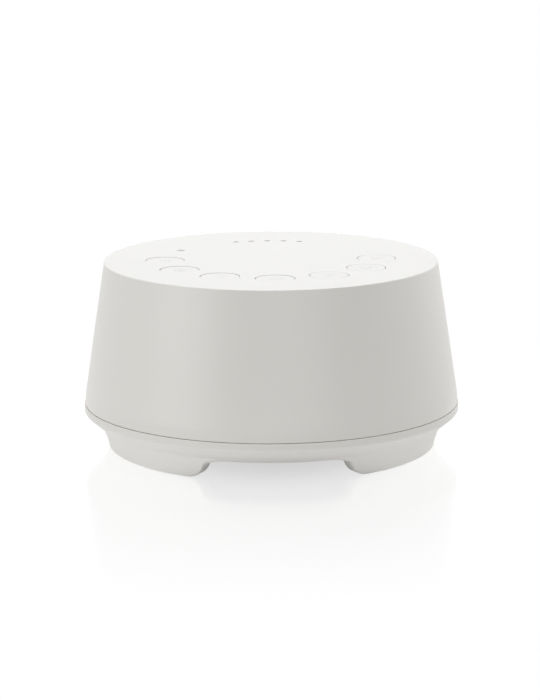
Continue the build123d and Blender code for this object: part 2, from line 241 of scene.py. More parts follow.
class Finishes:
    """Every finish on the machine, each made once when it is first asked for."""

    # white ABS from a spark-eroded mould: a soft satin that spreads every highlight. The real grain
    # is about 0.1 mm and is drawn at 0.45 mm so that it shows at all.
    HOUSING_ABS = Finish(
        "spark_eroded_white_abs", "ECEAE5", "E9E7E1", 0.35, 0.05, 0.45, 0.004, subsurface=0.05, drift=55
    )
    # the same ABS in the lower mould, with the same grain and a little duller
    BASE_ABS = Finish(
        "spark_eroded_warm_white_abs", "ECEAE6", "E9E7E2", 0.42, 0.05, 0.45, 0.004, subsurface=0.05, drift=45
    )
    # parting face of the lower mould, with hardly any grain; its straw tone is painted shade, the thin warm dark line
    # of the seam gap
    SEAM_SHADE_ABS = Finish(
        "abs_parting_face_painted_seam_shade", "CDBFA8", "C4B59D", 0.55, 0.05, 0.4, 0.002, subsurface=0.05, drift=12
    )
    # caps moulded in the same white, with a finer grain and a slightly duller face
    CAP_ABS = Finish(
        "fine_satin_white_abs", "ECEAE5", "E9E7E2", 0.4, 0.04, 0.3, 0.002, subsurface=0.05, drift=9
    )
    # light grey pad print: thin ink, flat and slightly matt
    PAD_PRINT = Finish("pale_grey_pad_print", "E1DFDB", "DEDCD8", 0.6, 0.05, 0.2, 0.001, drift=4)
    # clear polycarbonate light guides, which look grey while no light burns behind them
    CLEAR_PC = Finish("clear_polycarbonate_moulding", "8A8B8B", "7E7F80", 0.2, 0.05, 0.4, 0.001, ior=1.58, drift=6)
    # their ends in the windows, frosted by a blasted mould; their flat mid grey is painted shade, the dimness of the
    # unlit windows
    FROSTED_PC = Finish("frosted_polycarbonate_end_painted_shade", "B9B8B5", "B3B2AF", 0.55, 0.05, 0.3, 0.002, ior=1.58, drift=3)
    # thermoplastic rubber pads: dull, with a bloom of paler patches
    PAD_RUBBER = Finish("moulded_thermoplastic_rubber", "2B2B2A", "383837", 0.85, 0.06, 0.5, 0.02, drift=5)
    # silicone keypad: milky and soft, with a dusting of talc
    KEYPAD_SILICONE = Finish(
        "moulded_milky_silicone", "C9C9C4", "BEBEB8", 0.62, 0.06, 0.6, 0.01, ior=1.41, subsurface=0.3, drift=8
    )
    # green solder mask over laminate, with the weave of the glass cloth just showing through
    SOLDER_MASK = Finish("green_solder_mask_laminate", "17502B", "1B5C33", 0.35, 0.06, 0.8, 0.006, drift=12, coat=0.3)
    # chip bodies: transfer-moulded epoxy, almost black and slightly gritty
    CHIP_EPOXY = Finish("transfer_moulded_epoxy", "1A1A1B", "222223", 0.6, 0.08, 0.25, 0.004, drift=3)
    # can of the capacitor in its shrunk sleeve
    CAN_SLEEVE = Finish("heat_shrunk_blue_grey_sleeve", "39404B", "424A56", 0.35, 0.05, 0.5, 0.003, drift=4, coat=0.2)
    # sockets: natural nylon, waxy ivory
    SOCKET_NYLON = Finish("moulded_ivory_nylon", "E6DFCB", "DDD5BE", 0.42, 0.05, 0.4, 0.003, ior=1.53, drift=4)
    # body of the inlet: black glass-filled nylon
    JACK_NYLON = Finish("moulded_black_nylon", "131313", "1B1B1B", 0.4, 0.07, 0.35, 0.005, drift=4)
    # contact pin: bright nickel over brass, drawn and plated
    PIN_NICKEL = Finish("drawn_nickel_plated_brass", "C9C6BE", "BDB9AF", 0.22, 0.06, 0.3, 0.001, metallic=1.0, drift=3)
    # loudspeaker frame: pressed steel under black powder paint, with orange-peel about 0.8 mm wide
    FRAME_PAINT = Finish("powder_painted_pressed_steel", "1C1C1D", "242425", 0.45, 0.07, 0.8, 0.012, drift=14)
    # motor can: turned steel under yellowish zinc plate
    MOTOR_ZINC = Finish("zinc_plated_turned_steel", "B9B6AC", "A8A598", 0.34, 0.08, 0.5, 0.002, metallic=1.0, drift=9)
    # diaphragm: pressed paper pulp, fibres about 0.7 mm across
    CONE_PAPER = Finish("pressed_black_paper_pulp", "202020", "2C2B2A", 0.8, 0.08, 0.7, 0.03, ior=1.45, drift=7)
    # surround: moulded nitrile foam rubber
    SURROUND_RUBBER = Finish("moulded_nitrile_surround", "161616", "1D1D1D", 0.66, 0.06, 0.5, 0.008, drift=7)
    # leads: soft PVC over stranded copper
    LEAD_PVC = Finish("extruded_soft_black_pvc", "1E1E1F", "262627", 0.48, 0.06, 0.6, 0.004, drift=6)
    # light sources: clear epoxy over a pale yellow phosphor
    LED_EPOXY = Finish("cast_epoxy_over_phosphor", "E9DFA9", "E2D796", 0.25, 0.05, 0.3, 0.001, ior=1.52, drift=2)

    def __init__(self) -> None:
        """Start with no materials made."""
        self._made: dict[str, bpy.types.Material] = {}

    def get(self, finish: Finish) -> bpy.types.Material:
        """Give the material of a finish, and make it on the first call.

        Args:
            finish: the finish.

        Returns:
            Its material.
        """
        if finish.name not in self._made:
            self._made[finish.name] = finish.build()
        return self._made[finish.name]


FINISHES = Finishes()


# ---------------------------------------------------------------- mesh helpers


def circle(radius: float, count: int, z: float = 0.0, middle: Pair = (0.0, 0.0)) -> list[Point]:
    """Points of a level circle.

    Args:
        radius: its radius.
        count: number of points.
        z: its height.
        middle: its centre.

    Returns:
        The points, anticlockwise from +X.
    """
    x, y = middle
    step = math.tau / count
    return [(x + radius * math.cos(i * step), y + radius * math.sin(i * step), z) for i in range(count)]


def polar(radius: float, angle: float) -> Pair:
    """Level point at a radius and an angle in degrees."""
    return (radius * math.cos(math.radians(angle)), radius * math.sin(math.radians(angle)))


def spread(start: float, end: float, count: int) -> list[float]:
    """Even steps from one number to another, with both ends."""
    return [start + (end - start) * i / (count - 1) for i in range(count)]


def arc(middle: Pair, radius: float, start: float, end: float, steps: int) -> list[Pair]:
    """Points along an arc in a profile.

    Args:
        middle: centre of the arc.
        radius: its radius.
        start: first angle in degrees.
        end: last angle in degrees.
        steps: number of straight pieces.

    Returns:
        The points of the arc.
    """
    points = []
    for i in range(steps + 1):
        a = math.radians(start + (end - start) * i / steps)
        points.append((middle[0] + radius * math.cos(a), middle[1] + radius * math.sin(a)))
    return points


class Shell:
    """Grows one mesh from rings of points, in millimetres."""

    def __init__(self) -> None:
        """Start an empty mesh."""
        self.points: list[Point] = []
        self.faces: list[Ring] = []

    def ring(self, points: Iterable[Point]) -> Ring:
        """Add a ring of points.

        Args:
            points: the points, in order.

        Returns:
            Their numbers.
        """
        start = len(self.points)
        self.points.extend(points)
        return list(range(start, len(self.points)))

    def bridge(self, first: Ring, second: Ring) -> None:
        """Join two closed rings of equal length with quads.

        Args:
            first: numbers of one ring.
            second: numbers of the other.
        """
        count = len(first)
        for i in range(count):
            j = (i + 1) % count
            self.faces.append([first[i], first[j], second[j], second[i]])

    def close(self, rings: Sequence[Ring]) -> None:
        """Close the first and the last of a row of rings."""
        self.faces += [rings[0][::-1], rings[-1]]

    def skin(self, rings: Sequence[Ring], ends: bool = True) -> None:
        """Join a row of rings, each to the next.

        Args:
            rings: the rings, all of equal length.
            ends: True to close the first and the last ring too.
        """
        for first, second in zip(rings, rings[1:]):
            self.bridge(first, second)
        if ends:
            self.close(rings)

    def fan(self, ring: Ring, tip: Point) -> None:
        """Close a ring with triangles that meet in a point.

        Args:
            ring: numbers of the ring.
            tip: the point.
        """
        centre = self.ring([tip])[0]
        self.faces += [[a, b, centre] for a, b in zip(ring, [*ring[1:], ring[0]])]

    def revolve(self, profile: Profile, count: int, middle: Pair = (0.0, 0.0)) -> list[Ring]:
        """Turn a profile of (radius, height) about an upright axis.

        Args:
            profile: the profile, from one end to the other, clear of the axis.
            count: number of points round the axis.
            middle: where the axis stands.

        Returns:
            The rings of point numbers, one for each point of the profile.
        """
        rings = [self.ring(circle(r, count, z, middle)) for r, z in profile]
        self.skin(rings, ends=False)
        return rings

    def fill(self, outline: Ring, holes: Sequence[Ring] = ()) -> None:
        """Fill a level outline, and leave its holes open.

        Args:
            outline: ring of point numbers round the outside.
            holes: rings of point numbers round the holes.
        """
        numbers = [n for ring in (outline, *holes) for n in ring]
        flat = [Vector(self.points[n][:2]) for n in numbers]
        edges, start = [], 0
        for ring in (outline, *holes):
            size = len(ring)
            edges += [(start + i, start + (i + 1) % size) for i in range(size)]
            start += size
        out, _, triangles, origin, _, _ = delaunay_2d_cdt(flat, edges, [], 0, 1e-7)
        loops = [[Vector(self.points[n][:2]) for n in ring] for ring in holes]
        border = [Vector(self.points[n][:2]) for n in outline]
        for triangle in triangles:
            middle = sum((out[i] for i in triangle), Vector((0, 0))) / 3
            if inside(middle, border) and not any(inside(middle, loop) for loop in loops):
                self.faces.append([numbers[origin[i][0]] for i in triangle])

    def prism(self, outline: Profile, low: float, high: float, holes: Sequence[Profile] = ()) -> None:
        """Add an upright prism over a level outline.

        Args:
            outline: its corners, in order.
            low: height of its underside.
            high: height of its top.
            holes: outlines of the holes through it.
        """
        loops = [outline, *holes]
        rings = [[self.ring((x, y, z) for x, y in loop) for loop in loops] for z in (low, high)]
        for first, second in zip(*rings):
            self.bridge(first, second)
        for level in rings:
            self.fill(level[0], level[1:])

    def slab(self, outline: Profile, angle: float, width: float) -> None:
        """Add a plate that stands in an upright plane through the axis.

        Args:
            outline: its corners as (radius, height), in order.
            angle: direction of the plane in degrees.
            width: thickness of the plate.
        """
        c, s = polar(1.0, angle)
        sides = []
        for half in (-width / 2, width / 2):
            sides.append(self.ring((r * c - half * s, r * s + half * c, z) for r, z in outline))
        self.skin(sides)

    def mesh(self, name: str) -> bpy.types.Mesh:
        """Make the mesh, in metres, with its normals turned outwards.

        Args:
            name: name of the mesh.

        Returns:
            The mesh.
        """
        mesh = bpy.data.meshes.new(name)
        mesh.from_pydata([(x * MM, y * MM, z * MM) for x, y, z in self.points], [], self.faces)
        form = bmesh.new()
        form.from_mesh(mesh)
        bmesh.ops.recalc_face_normals(form, faces=form.faces)
        form.to_mesh(mesh)
        form.free()
        return mesh


def turn(points: Profile, angle: float, middle: Pair) -> list[Pair]:
    """Turn level points about the origin by an angle in degrees, then move them.

    Args:
        points: the points.
        angle: the turn, anticlockwise.
        middle: where the origin goes.

    Returns:
        The moved points.
    """
    c, s = polar(1.0, angle)
    return [(middle[0] + x * c - y * s, middle[1] + x * s + y * c) for x, y in points]


def inside(point: Vector, loop: Sequence[Vector]) -> bool:
    """Tell whether a level point lies inside a closed loop.

    Args:
        point: the point.
        loop: corners of the loop, in order.

    Returns:
        True where it lies inside.
    """
    odd = False
    for a, b in zip(loop, [*loop[1:], loop[0]]):
        if (a.y > point.y) != (b.y > point.y):
            if point.x < (b.x - a.x) * (point.y - a.y) / (b.y - a.y) + a.x:
                odd = not odd
    return odd


def rectangle(middle: Pair, across: Pair, angle: float = 0.0, corner: float = 0.0) -> list[Pair]:
    """Corners of a level rectangle.

    Args:
        middle: its centre.
        across: its sizes along its own x and y.
        angle: its turn in degrees.
        corner: radius of its corners, 0 for sharp ones.

    Returns:
        Its points, anticlockwise.
    """
    points = []
    for i, (sx, sy) in enumerate(((1, 1), (-1, 1), (-1, -1), (1, -1))):
        at = (sx * (across[0] / 2 - corner), sy * (across[1] / 2 - corner))
        points += arc(at, corner, 90 * i, 90 * i + 90, 4) if corner else [at]
    return turn(points, angle, middle)


def piece(
    name: str,
    mesh: bpy.types.Mesh,
    finish: Finish,
    body: str | None,
    replaced: Sequence[str] = (),
) -> bpy.types.Object:
    """Put a finished mesh into the scene as a piece of the machine.

    Args:
        name: name of the piece.
        mesh: its mesh.
        finish: its finish.
        body: CAD body that it rides on, or None where it rides on none.
        replaced: CAD nodes that it stands for.

    Returns:
        The new object.
    """
    obj = bpy.data.objects.new(name, mesh)
    bpy.context.scene.collection.objects.link(obj)
    mesh.polygons.foreach_set("use_smooth", [True] * len(mesh.polygons))
    mesh.set_sharp_from_angle(angle=math.radians(CREASE))
    # the large faces decide the shading, so that they stay level up to a rounded edge
    weighted = obj.modifiers.new("level_faces_stay_level", "WEIGHTED_NORMAL")
    weighted.keep_sharp = True
    weighted.weight = 90
    mesh.materials.append(FINISHES.get(finish))
    if body:
        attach(obj, body)
    if replaced:
        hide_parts(*replaced)
    LOG.info("%s: %d faces, %s", name, len(mesh.polygons), finish.name)
    return obj


def combine(base: bpy.types.Mesh, tool: bpy.types.Mesh, operation: str) -> bpy.types.Mesh:
    """Join or cut one closed mesh with another.

    Args:
        base: mesh that stays.
        tool: mesh that is added or taken away.
        operation: UNION or DIFFERENCE.

    Returns:
        The new mesh.
    """
    objects = [bpy.data.objects.new("combine", m) for m in (base, tool)]
    for obj in objects:
        bpy.context.scene.collection.objects.link(obj)
    cut = objects[0].modifiers.new("combine", "BOOLEAN")
    cut.operation = operation
    cut.solver = "EXACT"
    cut.object = objects[1]
    graph = bpy.context.evaluated_depsgraph_get()
    made = bpy.data.meshes.new_from_object(objects[0].evaluated_get(graph))
    for obj in objects:
        bpy.data.objects.remove(obj)
    made.name = base.name
    return made


# ---------------------------------------------------------------- the machine


@dataclass(frozen=True)
class Envelope:
    """Sizes that several sub-assemblies share.

    Attributes:
        height: table to the flat top.
        top_radius: radius at the top.
        knee: (radius, height) where the taper of the wall ends.
        seam_radius: radius of the upper housing at the seam.
        seam: heights of the lower and the upper edge of the gap.
        wall: thickness of the upper housing's wall.
        ceiling: underside of the flat top.
        foot_line: radius on which lengths along a foot are taken, and on which the pads lie.
        button_circle: radius on which the buttons stand.
        button_radius: radius of a cap.
        button_gap: gap round a cap.
        facets: points round the large circles.
    """

    height: float = 74.8
    top_radius: float = 66.72
    knee: Pair = (74.95, 21.4)
    seam_radius: float = 75.1
    seam: Pair = (17.42, 17.58)
    wall: float = 2.4
    ceiling: float = 72.4
    foot_line: float = 62.5
    button_circle: float = 42.3
    button_radius: float = 7.57
    button_gap: float = 0.25
    facets: int = 256

    def inner_radius(self, z: float) -> float:
        """Radius of the upper housing's inner wall.

        Args:
            z: the height.

        Returns:
            The radius there.
        """
        seam_z = self.seam[1]
        taper = (self.seam_radius - self.top_radius) * (z - seam_z) / (self.height - seam_z)
        return self.seam_radius - self.wall - taper


class Function(Enum):
    """What each button does, with the angle that it stands at."""

    POWER = 180.0
    TIMER = 210.0
    VOLUME_DOWN = 240.0
    PLAY = 270.0
    VOLUME_UP = 300.0
    PREVIOUS = 330.0
    NEXT = 360.0

    def label(self, what: str) -> str:
        """Name of something that belongs to this button, such as its body or its joint."""
        return f"{self.name.lower()}_{what}"


@dataclass(frozen=True)
class Window:
    """A light window in the top, with the frosted end of its light guide.

    Attributes:
        name: name of the window.
        angle: direction in which it lies, in degrees.
        circle: radius on which it lies.
        radius: its own radius.
        drop: how far the guide's end stays below the cover's face.
        crown: how much higher the middle of the end stands than its rim.
        fit: gap round the guide's end.
    """

    name: str
    angle: float
    circle: float
    radius: float
    drop: float = 0.1
    crown: float = 0.05
    fit: float = 0.02

    @property
    def at(self) -> Pair:
        """Middle of the window."""
        return polar(self.circle, self.angle)

    def build(self, envelope: Envelope) -> bpy.types.Object:
        """Make the end of the guide, which stands on the guide's bar.

        Args:
            envelope: shared sizes.

        Returns:
            The finished piece.
        """
        top = envelope.height - self.drop
        profile = [(self.radius * t, top - self.crown * t * t) for t in (0.3, 0.6, 0.85, 0.96)]
        profile += [(self.radius, top - 2 * self.crown), (self.radius, envelope.ceiling)]
        shell = Shell()
        shell.close(shell.revolve(profile, SMALL_FACETS, self.at))
        name = f"{self.name}_lens"
        # the end's mid grey finish is painted shade of the window
        return piece(name, shell.mesh(name), Finishes.FROSTED_PC, HOUSING_BODY)


# five small timer windows in a row at the back, and the power window beside the power button
WINDOWS = (
    *(Window(f"timer_window_{i + 1}", 72.1 + 8.8 * i, 43.6, 1.28, drop=0.2) for i in range(5)),
    Window("power_window", 148.0, 42.3, 1.6),
)
CATCH_ANGLES = (0, 60, 120, 180, 240, 300)
HOOK_ANGLES = (0, 90, 180, 270)
PAD_ANGLES = (-44.0, 44.0, 136.0, 224.0)
BOARD_POSTS = ((0.0, 0.0), (-30.0, 32.0), (32.0, 32.0))


@dataclass(frozen=True)
class UpperHousing:
    """Tapered cover with a flat top, round holes for the caps and windows, and the inlet's port.

    Attributes:
        envelope: shared sizes.
        rim: radius of the rounding round the top.
        wall_steps: number of pieces along the straight part of the wall.
        button_hole: rounding of a button hole's edge, and points round it.
        window_hole: the same for a window.
        port: radius and height of the rear port.
        port_span: from where to where along Y the port is cut.
        port_facets: points round the port.
        ledge_width: width of a ledge.
        post: side of a board post, and height of its lower end.
        post_root: how far a post reaches into the top.
    """

    envelope: Envelope
    rim: float = 0.45
    wall_steps: int = 10
    button_hole: tuple[float, int] = (0.08, 72)
    window_hole: tuple[float, int] = (0.04, 40)
    port: Pair = (3.5, 27.0)
    port_span: Pair = (60.0, 80.0)
    port_facets: int = 64
    ledge_width: float = 10.0
    post: Pair = (6.0, 63.0)
    post_root: float = 1.0

    # (radius, height) from the knee, where the straight wall curves in to the seam
    KNEE_CURVE = ((-0.36, 1.9), (-0.12, 0.5), (0.0, -0.8))
    # (radius, height) from the wall's lower edge, which is broken
    SEAM_EDGE = ((0.0, 0.15), (-0.1, 0.0))
    # heights of the rings between the two ends of the inner wall
    INNER_LEVELS = (30.0, 45.0, 60.0)
    # (radius, height) round a ledge that a catch grips
    LEDGE = ((70.9, 21.0), (73.4, 21.0), (73.4, 23.0), (70.9, 23.0))

    def wall_profile(self) -> list[Pair]:
        """Outer profile, from the flat top over the rim and down to the seam.

        Returns:
            The profile as (radius, height).
        """
        e = self.envelope
        slope = math.degrees(math.atan2(e.knee[0] - e.top_radius, e.height - e.knee[1]))
        middle = (e.top_radius - self.rim, e.height - self.rim)
        rim = arc(middle, self.rim, 90, slope, 8)
        curve = [(e.knee[0] + out, e.knee[1] + up) for out, up in self.KNEE_CURVE]
        ends = zip(rim[-1], curve[0])
        straight = list(zip(*(spread(a, b, self.wall_steps + 1)[1:-1] for a, b in ends)))
        edge = [(e.seam_radius + out, e.seam[1] + up) for out, up in self.SEAM_EDGE]
        return [*rim, *straight, *curve, *edge]

    def hole(self, shell: Shell, at: Pair, radius: float, lining: tuple[float, int]) -> list[Ring]:
        """Line a round hole through the top.

        Args:
            shell: mesh that the lining goes into.
            at: centre of the hole.
            radius: its radius.
            lining: rounding of its upper edge, and points round it.

        Returns:
            The rings of the lining, from the top down.
        """
        edge, facets = lining
        profile = arc((radius + edge, self.envelope.height - edge), edge, 90, 180, 4)
        return shell.revolve([*profile, (radius, self.envelope.ceiling)], facets, at)

    def build(self) -> bpy.types.Object:
        """Make the housing.

        Returns:
            The finished piece.
        """
        e = self.envelope
        shell = Shell()
        outer = shell.revolve(self.wall_profile(), e.facets)
        levels = (e.seam[1], *self.INNER_LEVELS, e.ceiling)
        inner = shell.revolve([(e.inner_radius(z), z) for z in levels], e.facets)
        shell.bridge(outer[-1], inner[0])
        linings = []
        for function in Function:
            at = polar(e.button_circle, function.value)
            linings.append(self.hole(shell, at, e.button_radius + e.button_gap, self.button_hole))
        for window in WINDOWS:
            linings.append(self.hole(shell, window.at, window.radius + window.fit, self.window_hole))
        shell.fill(outer[0], [rings[0] for rings in linings])
        shell.fill(inner[-1], [rings[-1] for rings in linings])
        mesh = combine(shell.mesh("upper_cover"), self.port_cutter(), "DIFFERENCE")
        mesh = combine(mesh, self.inner_fittings(), "UNION")
        return piece("upper_cover", mesh, Finishes.HOUSING_ABS, HOUSING_BODY, ["upper_housing"])

    def port_cutter(self) -> bpy.types.Mesh:
        """Cylinder along +Y that opens the port.

        Returns:
            The cutter's mesh.
        """
        radius, height = self.port
        section = circle(radius, self.port_facets)
        shell = Shell()
        shell.skin([shell.ring((x, y, height + z) for x, z, _ in section) for y in self.port_span])
        return shell.mesh("port_cutter")

    def inner_fittings(self) -> bpy.types.Mesh:
        """Ledges for the catches, and the posts that carry the board.

        Returns:
            Their mesh.
        """
        side, bottom = self.post
        shell = Shell()
        for angle in CATCH_ANGLES:
            shell.slab(self.LEDGE, angle, self.ledge_width)
        for at in BOARD_POSTS:
            shell.prism(rectangle(at, (side, side)), bottom, self.envelope.ceiling + self.post_root)
        return shell.mesh("inner_fittings")


@dataclass(frozen=True)
class BoardPegs:
    """Square pegs of the upper housing that go through the board.

    Attributes:
        side: width of a peg.
        corner: rounding of its corners.
        span: heights of its two ends.
    """

    side: float = 3.0
    corner: float = 0.3
    span: Pair = (60.2, 63.4)

    def build(self) -> bpy.types.Object:
        """Make the pegs.

        Returns:
            The finished piece.
        """
        shell = Shell()
        for at in BOARD_POSTS:
            shell.prism(rectangle(at, (self.side, self.side), corner=self.corner), *self.span)
        return piece("board_pegs", shell.mesh("board_pegs"), Finishes.HOUSING_ABS, HOUSING_BODY)


@dataclass(frozen=True)
class LowerHousing:
    """Pan with a proud lip, a sloping underside, a slotted floor and two curved feet.

    Attributes:
        envelope: shared sizes.
        floor: heights of the floor's underside and top.
        floor_radius: radius of the floor's top.
        rim_gap: how far the step inside the rim stays below the upper housing.
        foot_inner: radius of a foot's inner wall.
        foot_bottom: height of a foot's underside.
        foot_half: half the angle that a foot spans.
        foot_steps: number of pieces along a foot's flat underside.
        foot_root: width of a foot's section inside the pan, how deep that ends below the section's
            top, and where below the top the points of the inner wall begin.
        wall_least: height of the foot's wall that a corner always leaves.
        end_rounding: how far a foot's rounded end runs, and how high it rises.
        corner: rounding of a foot's lower corners along its length and at its ends.
        parting: radii between which the rim's parting face lies, which carries the painted seam shade.
        wall_sink: how far the outer wall draws back where the end runs out.
        slot: width and pitch of the grille's slots.
        slot_count: number of slots.
        slot_edge: size of the break round a slot, outside.
        slot_corner: rounding of a slot's corners.
        grille_radius: radius that the slots end on.
        recess: width and length of a pad's recess.
        recess_corner: rounding of its corners.
        recess_span: heights of the two ends of the block that opens it.
        fitting_width: width of a catch and of a hook.
        root: how deep the fittings reach into the floor.
        seat: outer and inner width of the loudspeaker's square seat, and height of its face.
        cradle_top: height of the inlet's cradle.
        shelf: middle and size of the shelf under the inlet.
        shelf_top: height of that shelf.
    """

    envelope: Envelope
    floor: Pair = (7.95, 10.8)
    floor_radius: float = 65.6
    rim_gap: float = 0.02
    foot_inner: float = 59.0
    foot_bottom: float = 0.15
    foot_half: float = 65.1
    foot_steps: int = 84
    foot_root: Point = (2.0, 0.4, 0.6)
    wall_least: float = 0.8
    end_rounding: Pair = (7.4, 7.75)
    corner: Pair = (0.75, 2.2)
    parting: Pair = (74.3, 75.1)
    wall_sink: float = 0.6
    slot: Pair = (2.4, 6.4)
    slot_count: int = 9
    slot_edge: float = 0.25
    slot_corner: float = 0.4
    grille_radius: float = 30.5
    recess: Pair = (4.8, 14.2)
    recess_corner: float = 0.4
    recess_span: Pair = (-1.0, 1.5)
    fitting_width: float = 8.0
    root: float = 1.0
    seat: Point = (71.7, 65.7, 13.2)
    cradle_top: float = 27.0
    shelf: tuple[Pair, Pair] = ((0, 59.25), (10.8, 7.9))
    shelf_top: float = 21.5

    # (radius, height) down the lip and along the sloping underside to the floor
    SLOPE = (
        *((74.4, 17.42), (75.15, 17.42), (75.34, 17.3), (75.4, 17.05), (75.4, 15.2), (75.37, 14.85)),
        *((75.26, 14.5), (75.04, 14.2), (74.72, 13.95), (74.3, 13.68), (73.8, 13.3), (73.1, 12.62)),
        *((72.2, 11.75), (71.1, 10.85), (69.8, 9.95), (68.6, 9.1), (67.9, 8.6), (67.35, 8.22)),
        *((66.95, 8.02), (66.6, 7.95)),
    )
    # (radius, height) over the tongue that stands inside the upper housing
    TONGUE = ((72.17, 20.2), (71.97, 20.4), (70.37, 20.4), (70.17, 20.2))
    # (radius, height) up the outer wall of a foot, with the fillet that runs into the slope
    FOOT_WALL = (
        *((65.9, 1.0), (66.2, 2.6), (66.75, 4.1), (67.3, 5.6), (67.75, 7.0)),
        *((68.1, 8.1), (68.5, 8.9), (69.05, 9.55), (69.7, 10.05)),
    )
    # (distance past the foot's end, height) where its round underside runs out into the floor's
    TAIL = (
        *((-0.7, 4.6), (-0.2, 5.5), (0.39, 6.15), (1.25, 6.65), (2.4, 7.05)),
        *((4.0, 7.4), (6.0, 7.75), (8.0, 8.0), (10.0, 8.2)),
    )
    # (radius, height) round a catch, and from the back of a hook over its nose
    CATCH = (
        *((69.09, 14.2), (70.69, 14.2), (70.69, 23.15)),
        *((71.49, 23.15), (70.69, 25.15), (69.09, 25.15)),
    )
    HOOK = ((37.75, 17.75), (34.55, 14.55), (36.15, 14.55))
    # (x, y) round the inlet's cradle, open to the rear
    CRADLE = (
        *((-6.2, 54.5), (6.2, 54.5), (6.2, 63.2), (4.6, 63.2)),
        *((4.6, 56.1), (-4.6, 56.1), (-4.6, 63.2), (-6.2, 63.2)),
    )

    def pan(self) -> bpy.types.Mesh:
        """Pan with its tongue and the slotted floor.

        Returns:
            The pan's mesh.
        """
        e = self.envelope
        low, high = self.floor
        shell = Shell()
        outside = shell.revolve(self.SLOPE[::-1], e.facets)
        rim = e.seam[1] - self.rim_gap
        step = [(self.SLOPE[0][0], rim), (self.TONGUE[0][0], rim)]
        within = shell.revolve([*step, *self.TONGUE, (self.floor_radius, high)], e.facets)
        shell.bridge(outside[-1], within[0])
        slots = []
        width, pitch = self.slot
        for i in range(self.slot_count):
            y = (i - (self.slot_count - 1) / 2) * pitch
            half = math.sqrt(self.grille_radius**2 - (abs(y) + width / 2) ** 2)
            rings = []
            for z, grow in ((low, self.slot_edge), (low + self.slot_edge, 0.0), (high, 0.0)):
                across = (2 * half + 2 * grow, width + 2 * grow)
                outline = rectangle((0, y), across, corner=self.slot_corner + grow)
                rings.append(shell.ring((x, v, z) for x, v in outline))
            shell.skin(rings, ends=False)
            slots.append(rings)
        shell.fill(outside[0], [rings[0] for rings in slots])
        shell.fill(within[-1], [rings[-1] for rings in slots])
        return shell.mesh("lower_pan")

    def foot_section(self, low: float, corner: float, sink: float) -> list[Pair]:
        """Closed section of a foot whose underside stands at a height.

        Args:
            low: height of its underside there.
            corner: rounding of its lower corners.
            sink: how far its outer wall draws back.

        Returns:
            The section as (radius, height), with the same number of points for every height.
        """
        top = self.FOOT_WALL[-1][1]
        rise = min(corner, top - self.wall_least - low)
        inner, outer = self.foot_inner, self.wall_radius(low + rise) - sink
        width, depth, start = self.foot_root
        section = []
        for r, z in arc((0.0, 0.0), 1.0, -90, 0, 6):
            section.append((outer - corner + corner * r, low + rise + rise * z))
        section += [(self.wall_radius(z) - sink, z) for z in spread(low + rise, top, 12)[1:]]
        section += [(inner + width, top - depth), (inner, top - depth)]
        section += [(inner, z) for z in spread(top - start, low + rise, 5)]
        for r, z in arc((0.0, 0.0), 1.0, 180, 270, 6)[1:]:
            section.append((inner + corner + corner * r, low + rise + rise * z))
        return section

    def wall_radius(self, z: float) -> float:
        """Radius of a foot's outer wall.

        Args:
            z: the height.

        Returns:
            The radius there.
        """
        points = self.FOOT_WALL
        if z <= points[0][1]:
            return points[0][0]
        for (r0, z0), (r1, z1) in zip(points, points[1:]):
            if z <= z1:
                return r0 + (r1 - r0) * (z - z0) / (z1 - z0)
        return points[-1][0]

    def end_line(self) -> list[Pair]:
        """Underside of a foot's end, from the flat up into the floor's underside.

        Returns:
            Its points as (distance past the foot's end, height).
        """
        run, rise = self.end_rounding
        last = math.degrees(math.acos(1 + self.TAIL[0][0] / run))
        bend = arc((0.0, 0.0), 1.0, 90, last, 12)[:-1]
        return [*((-run * (1 - c), self.foot_bottom + rise * (1 - s)) for c, s in bend), *self.TAIL]

    def foot(self, side: float) -> bpy.types.Mesh:
        """One foot, swept round the axis.

        Args:
            side: angle of its middle in degrees.

        Returns:
            The foot's mesh.
        """
        line, count = self.envelope.foot_line, self.foot_steps
        end = [(self.foot_half + math.degrees(past / line), past, z) for past, z in self.end_line()]
        flat, far = end[0][:2]
        middle = [(flat * (2 * i / count - 1), far, self.foot_bottom) for i in range(1, count)]
        stations = [*((-angle, past, z) for angle, past, z in reversed(end)), *middle, *end]
        small, large = self.corner
        shell = Shell()
        rings = []
        for angle, past, z in stations:
            share = past / self.end_rounding[0]
            near = min(max(share + 1, 0), 1)
            sink = self.wall_sink * min(max(share, 0), 1)
            section = self.foot_section(z, small + (large - small) * near**2, sink)
            c, s = polar(1.0, side + angle)
            rings.append(shell.ring((r * c, r * s, h) for r, h in section))
        shell.skin(rings)
        return shell.mesh("foot")

    def recesses(self) -> bpy.types.Mesh:
        """Blocks that open the recesses for the pads.

        Returns:
            Their mesh.
        """
        shell = Shell()
        for angle in PAD_ANGLES:
            at = polar(self.envelope.foot_line, angle)
            shell.prism(rectangle(at, self.recess, angle, self.recess_corner), *self.recess_span)
        return shell.mesh("recesses")

    def inner_fittings(self) -> list[bpy.types.Mesh]:
        """Catches, the loudspeaker's seat and hooks, and the inlet's cradle and shelf.

        Returns:
            Their meshes, none of which overlaps itself.
        """
        root = self.floor[1] - self.root
        hook = [(self.HOOK[-1][0], root), (self.HOOK[0][0], root), *self.HOOK]
        shell = Shell()
        for outline, angles in ((self.CATCH, CATCH_ANGLES), (hook, HOOK_ANGLES)):
            for angle in angles:
                shell.slab(outline, angle, self.fitting_width)
        outer, inner, face = self.seat
        opening = rectangle((0, 0), (inner, inner))
        shell.prism(rectangle((0, 0), (outer, outer)), root, face, [opening])
        shell.prism(self.CRADLE, root, self.cradle_top)
        shelf = Shell()
        shelf.prism(rectangle(*self.shelf), root, self.shelf_top)
        return [shell.mesh("pan_fittings"), shelf.mesh("jack_shelf")]

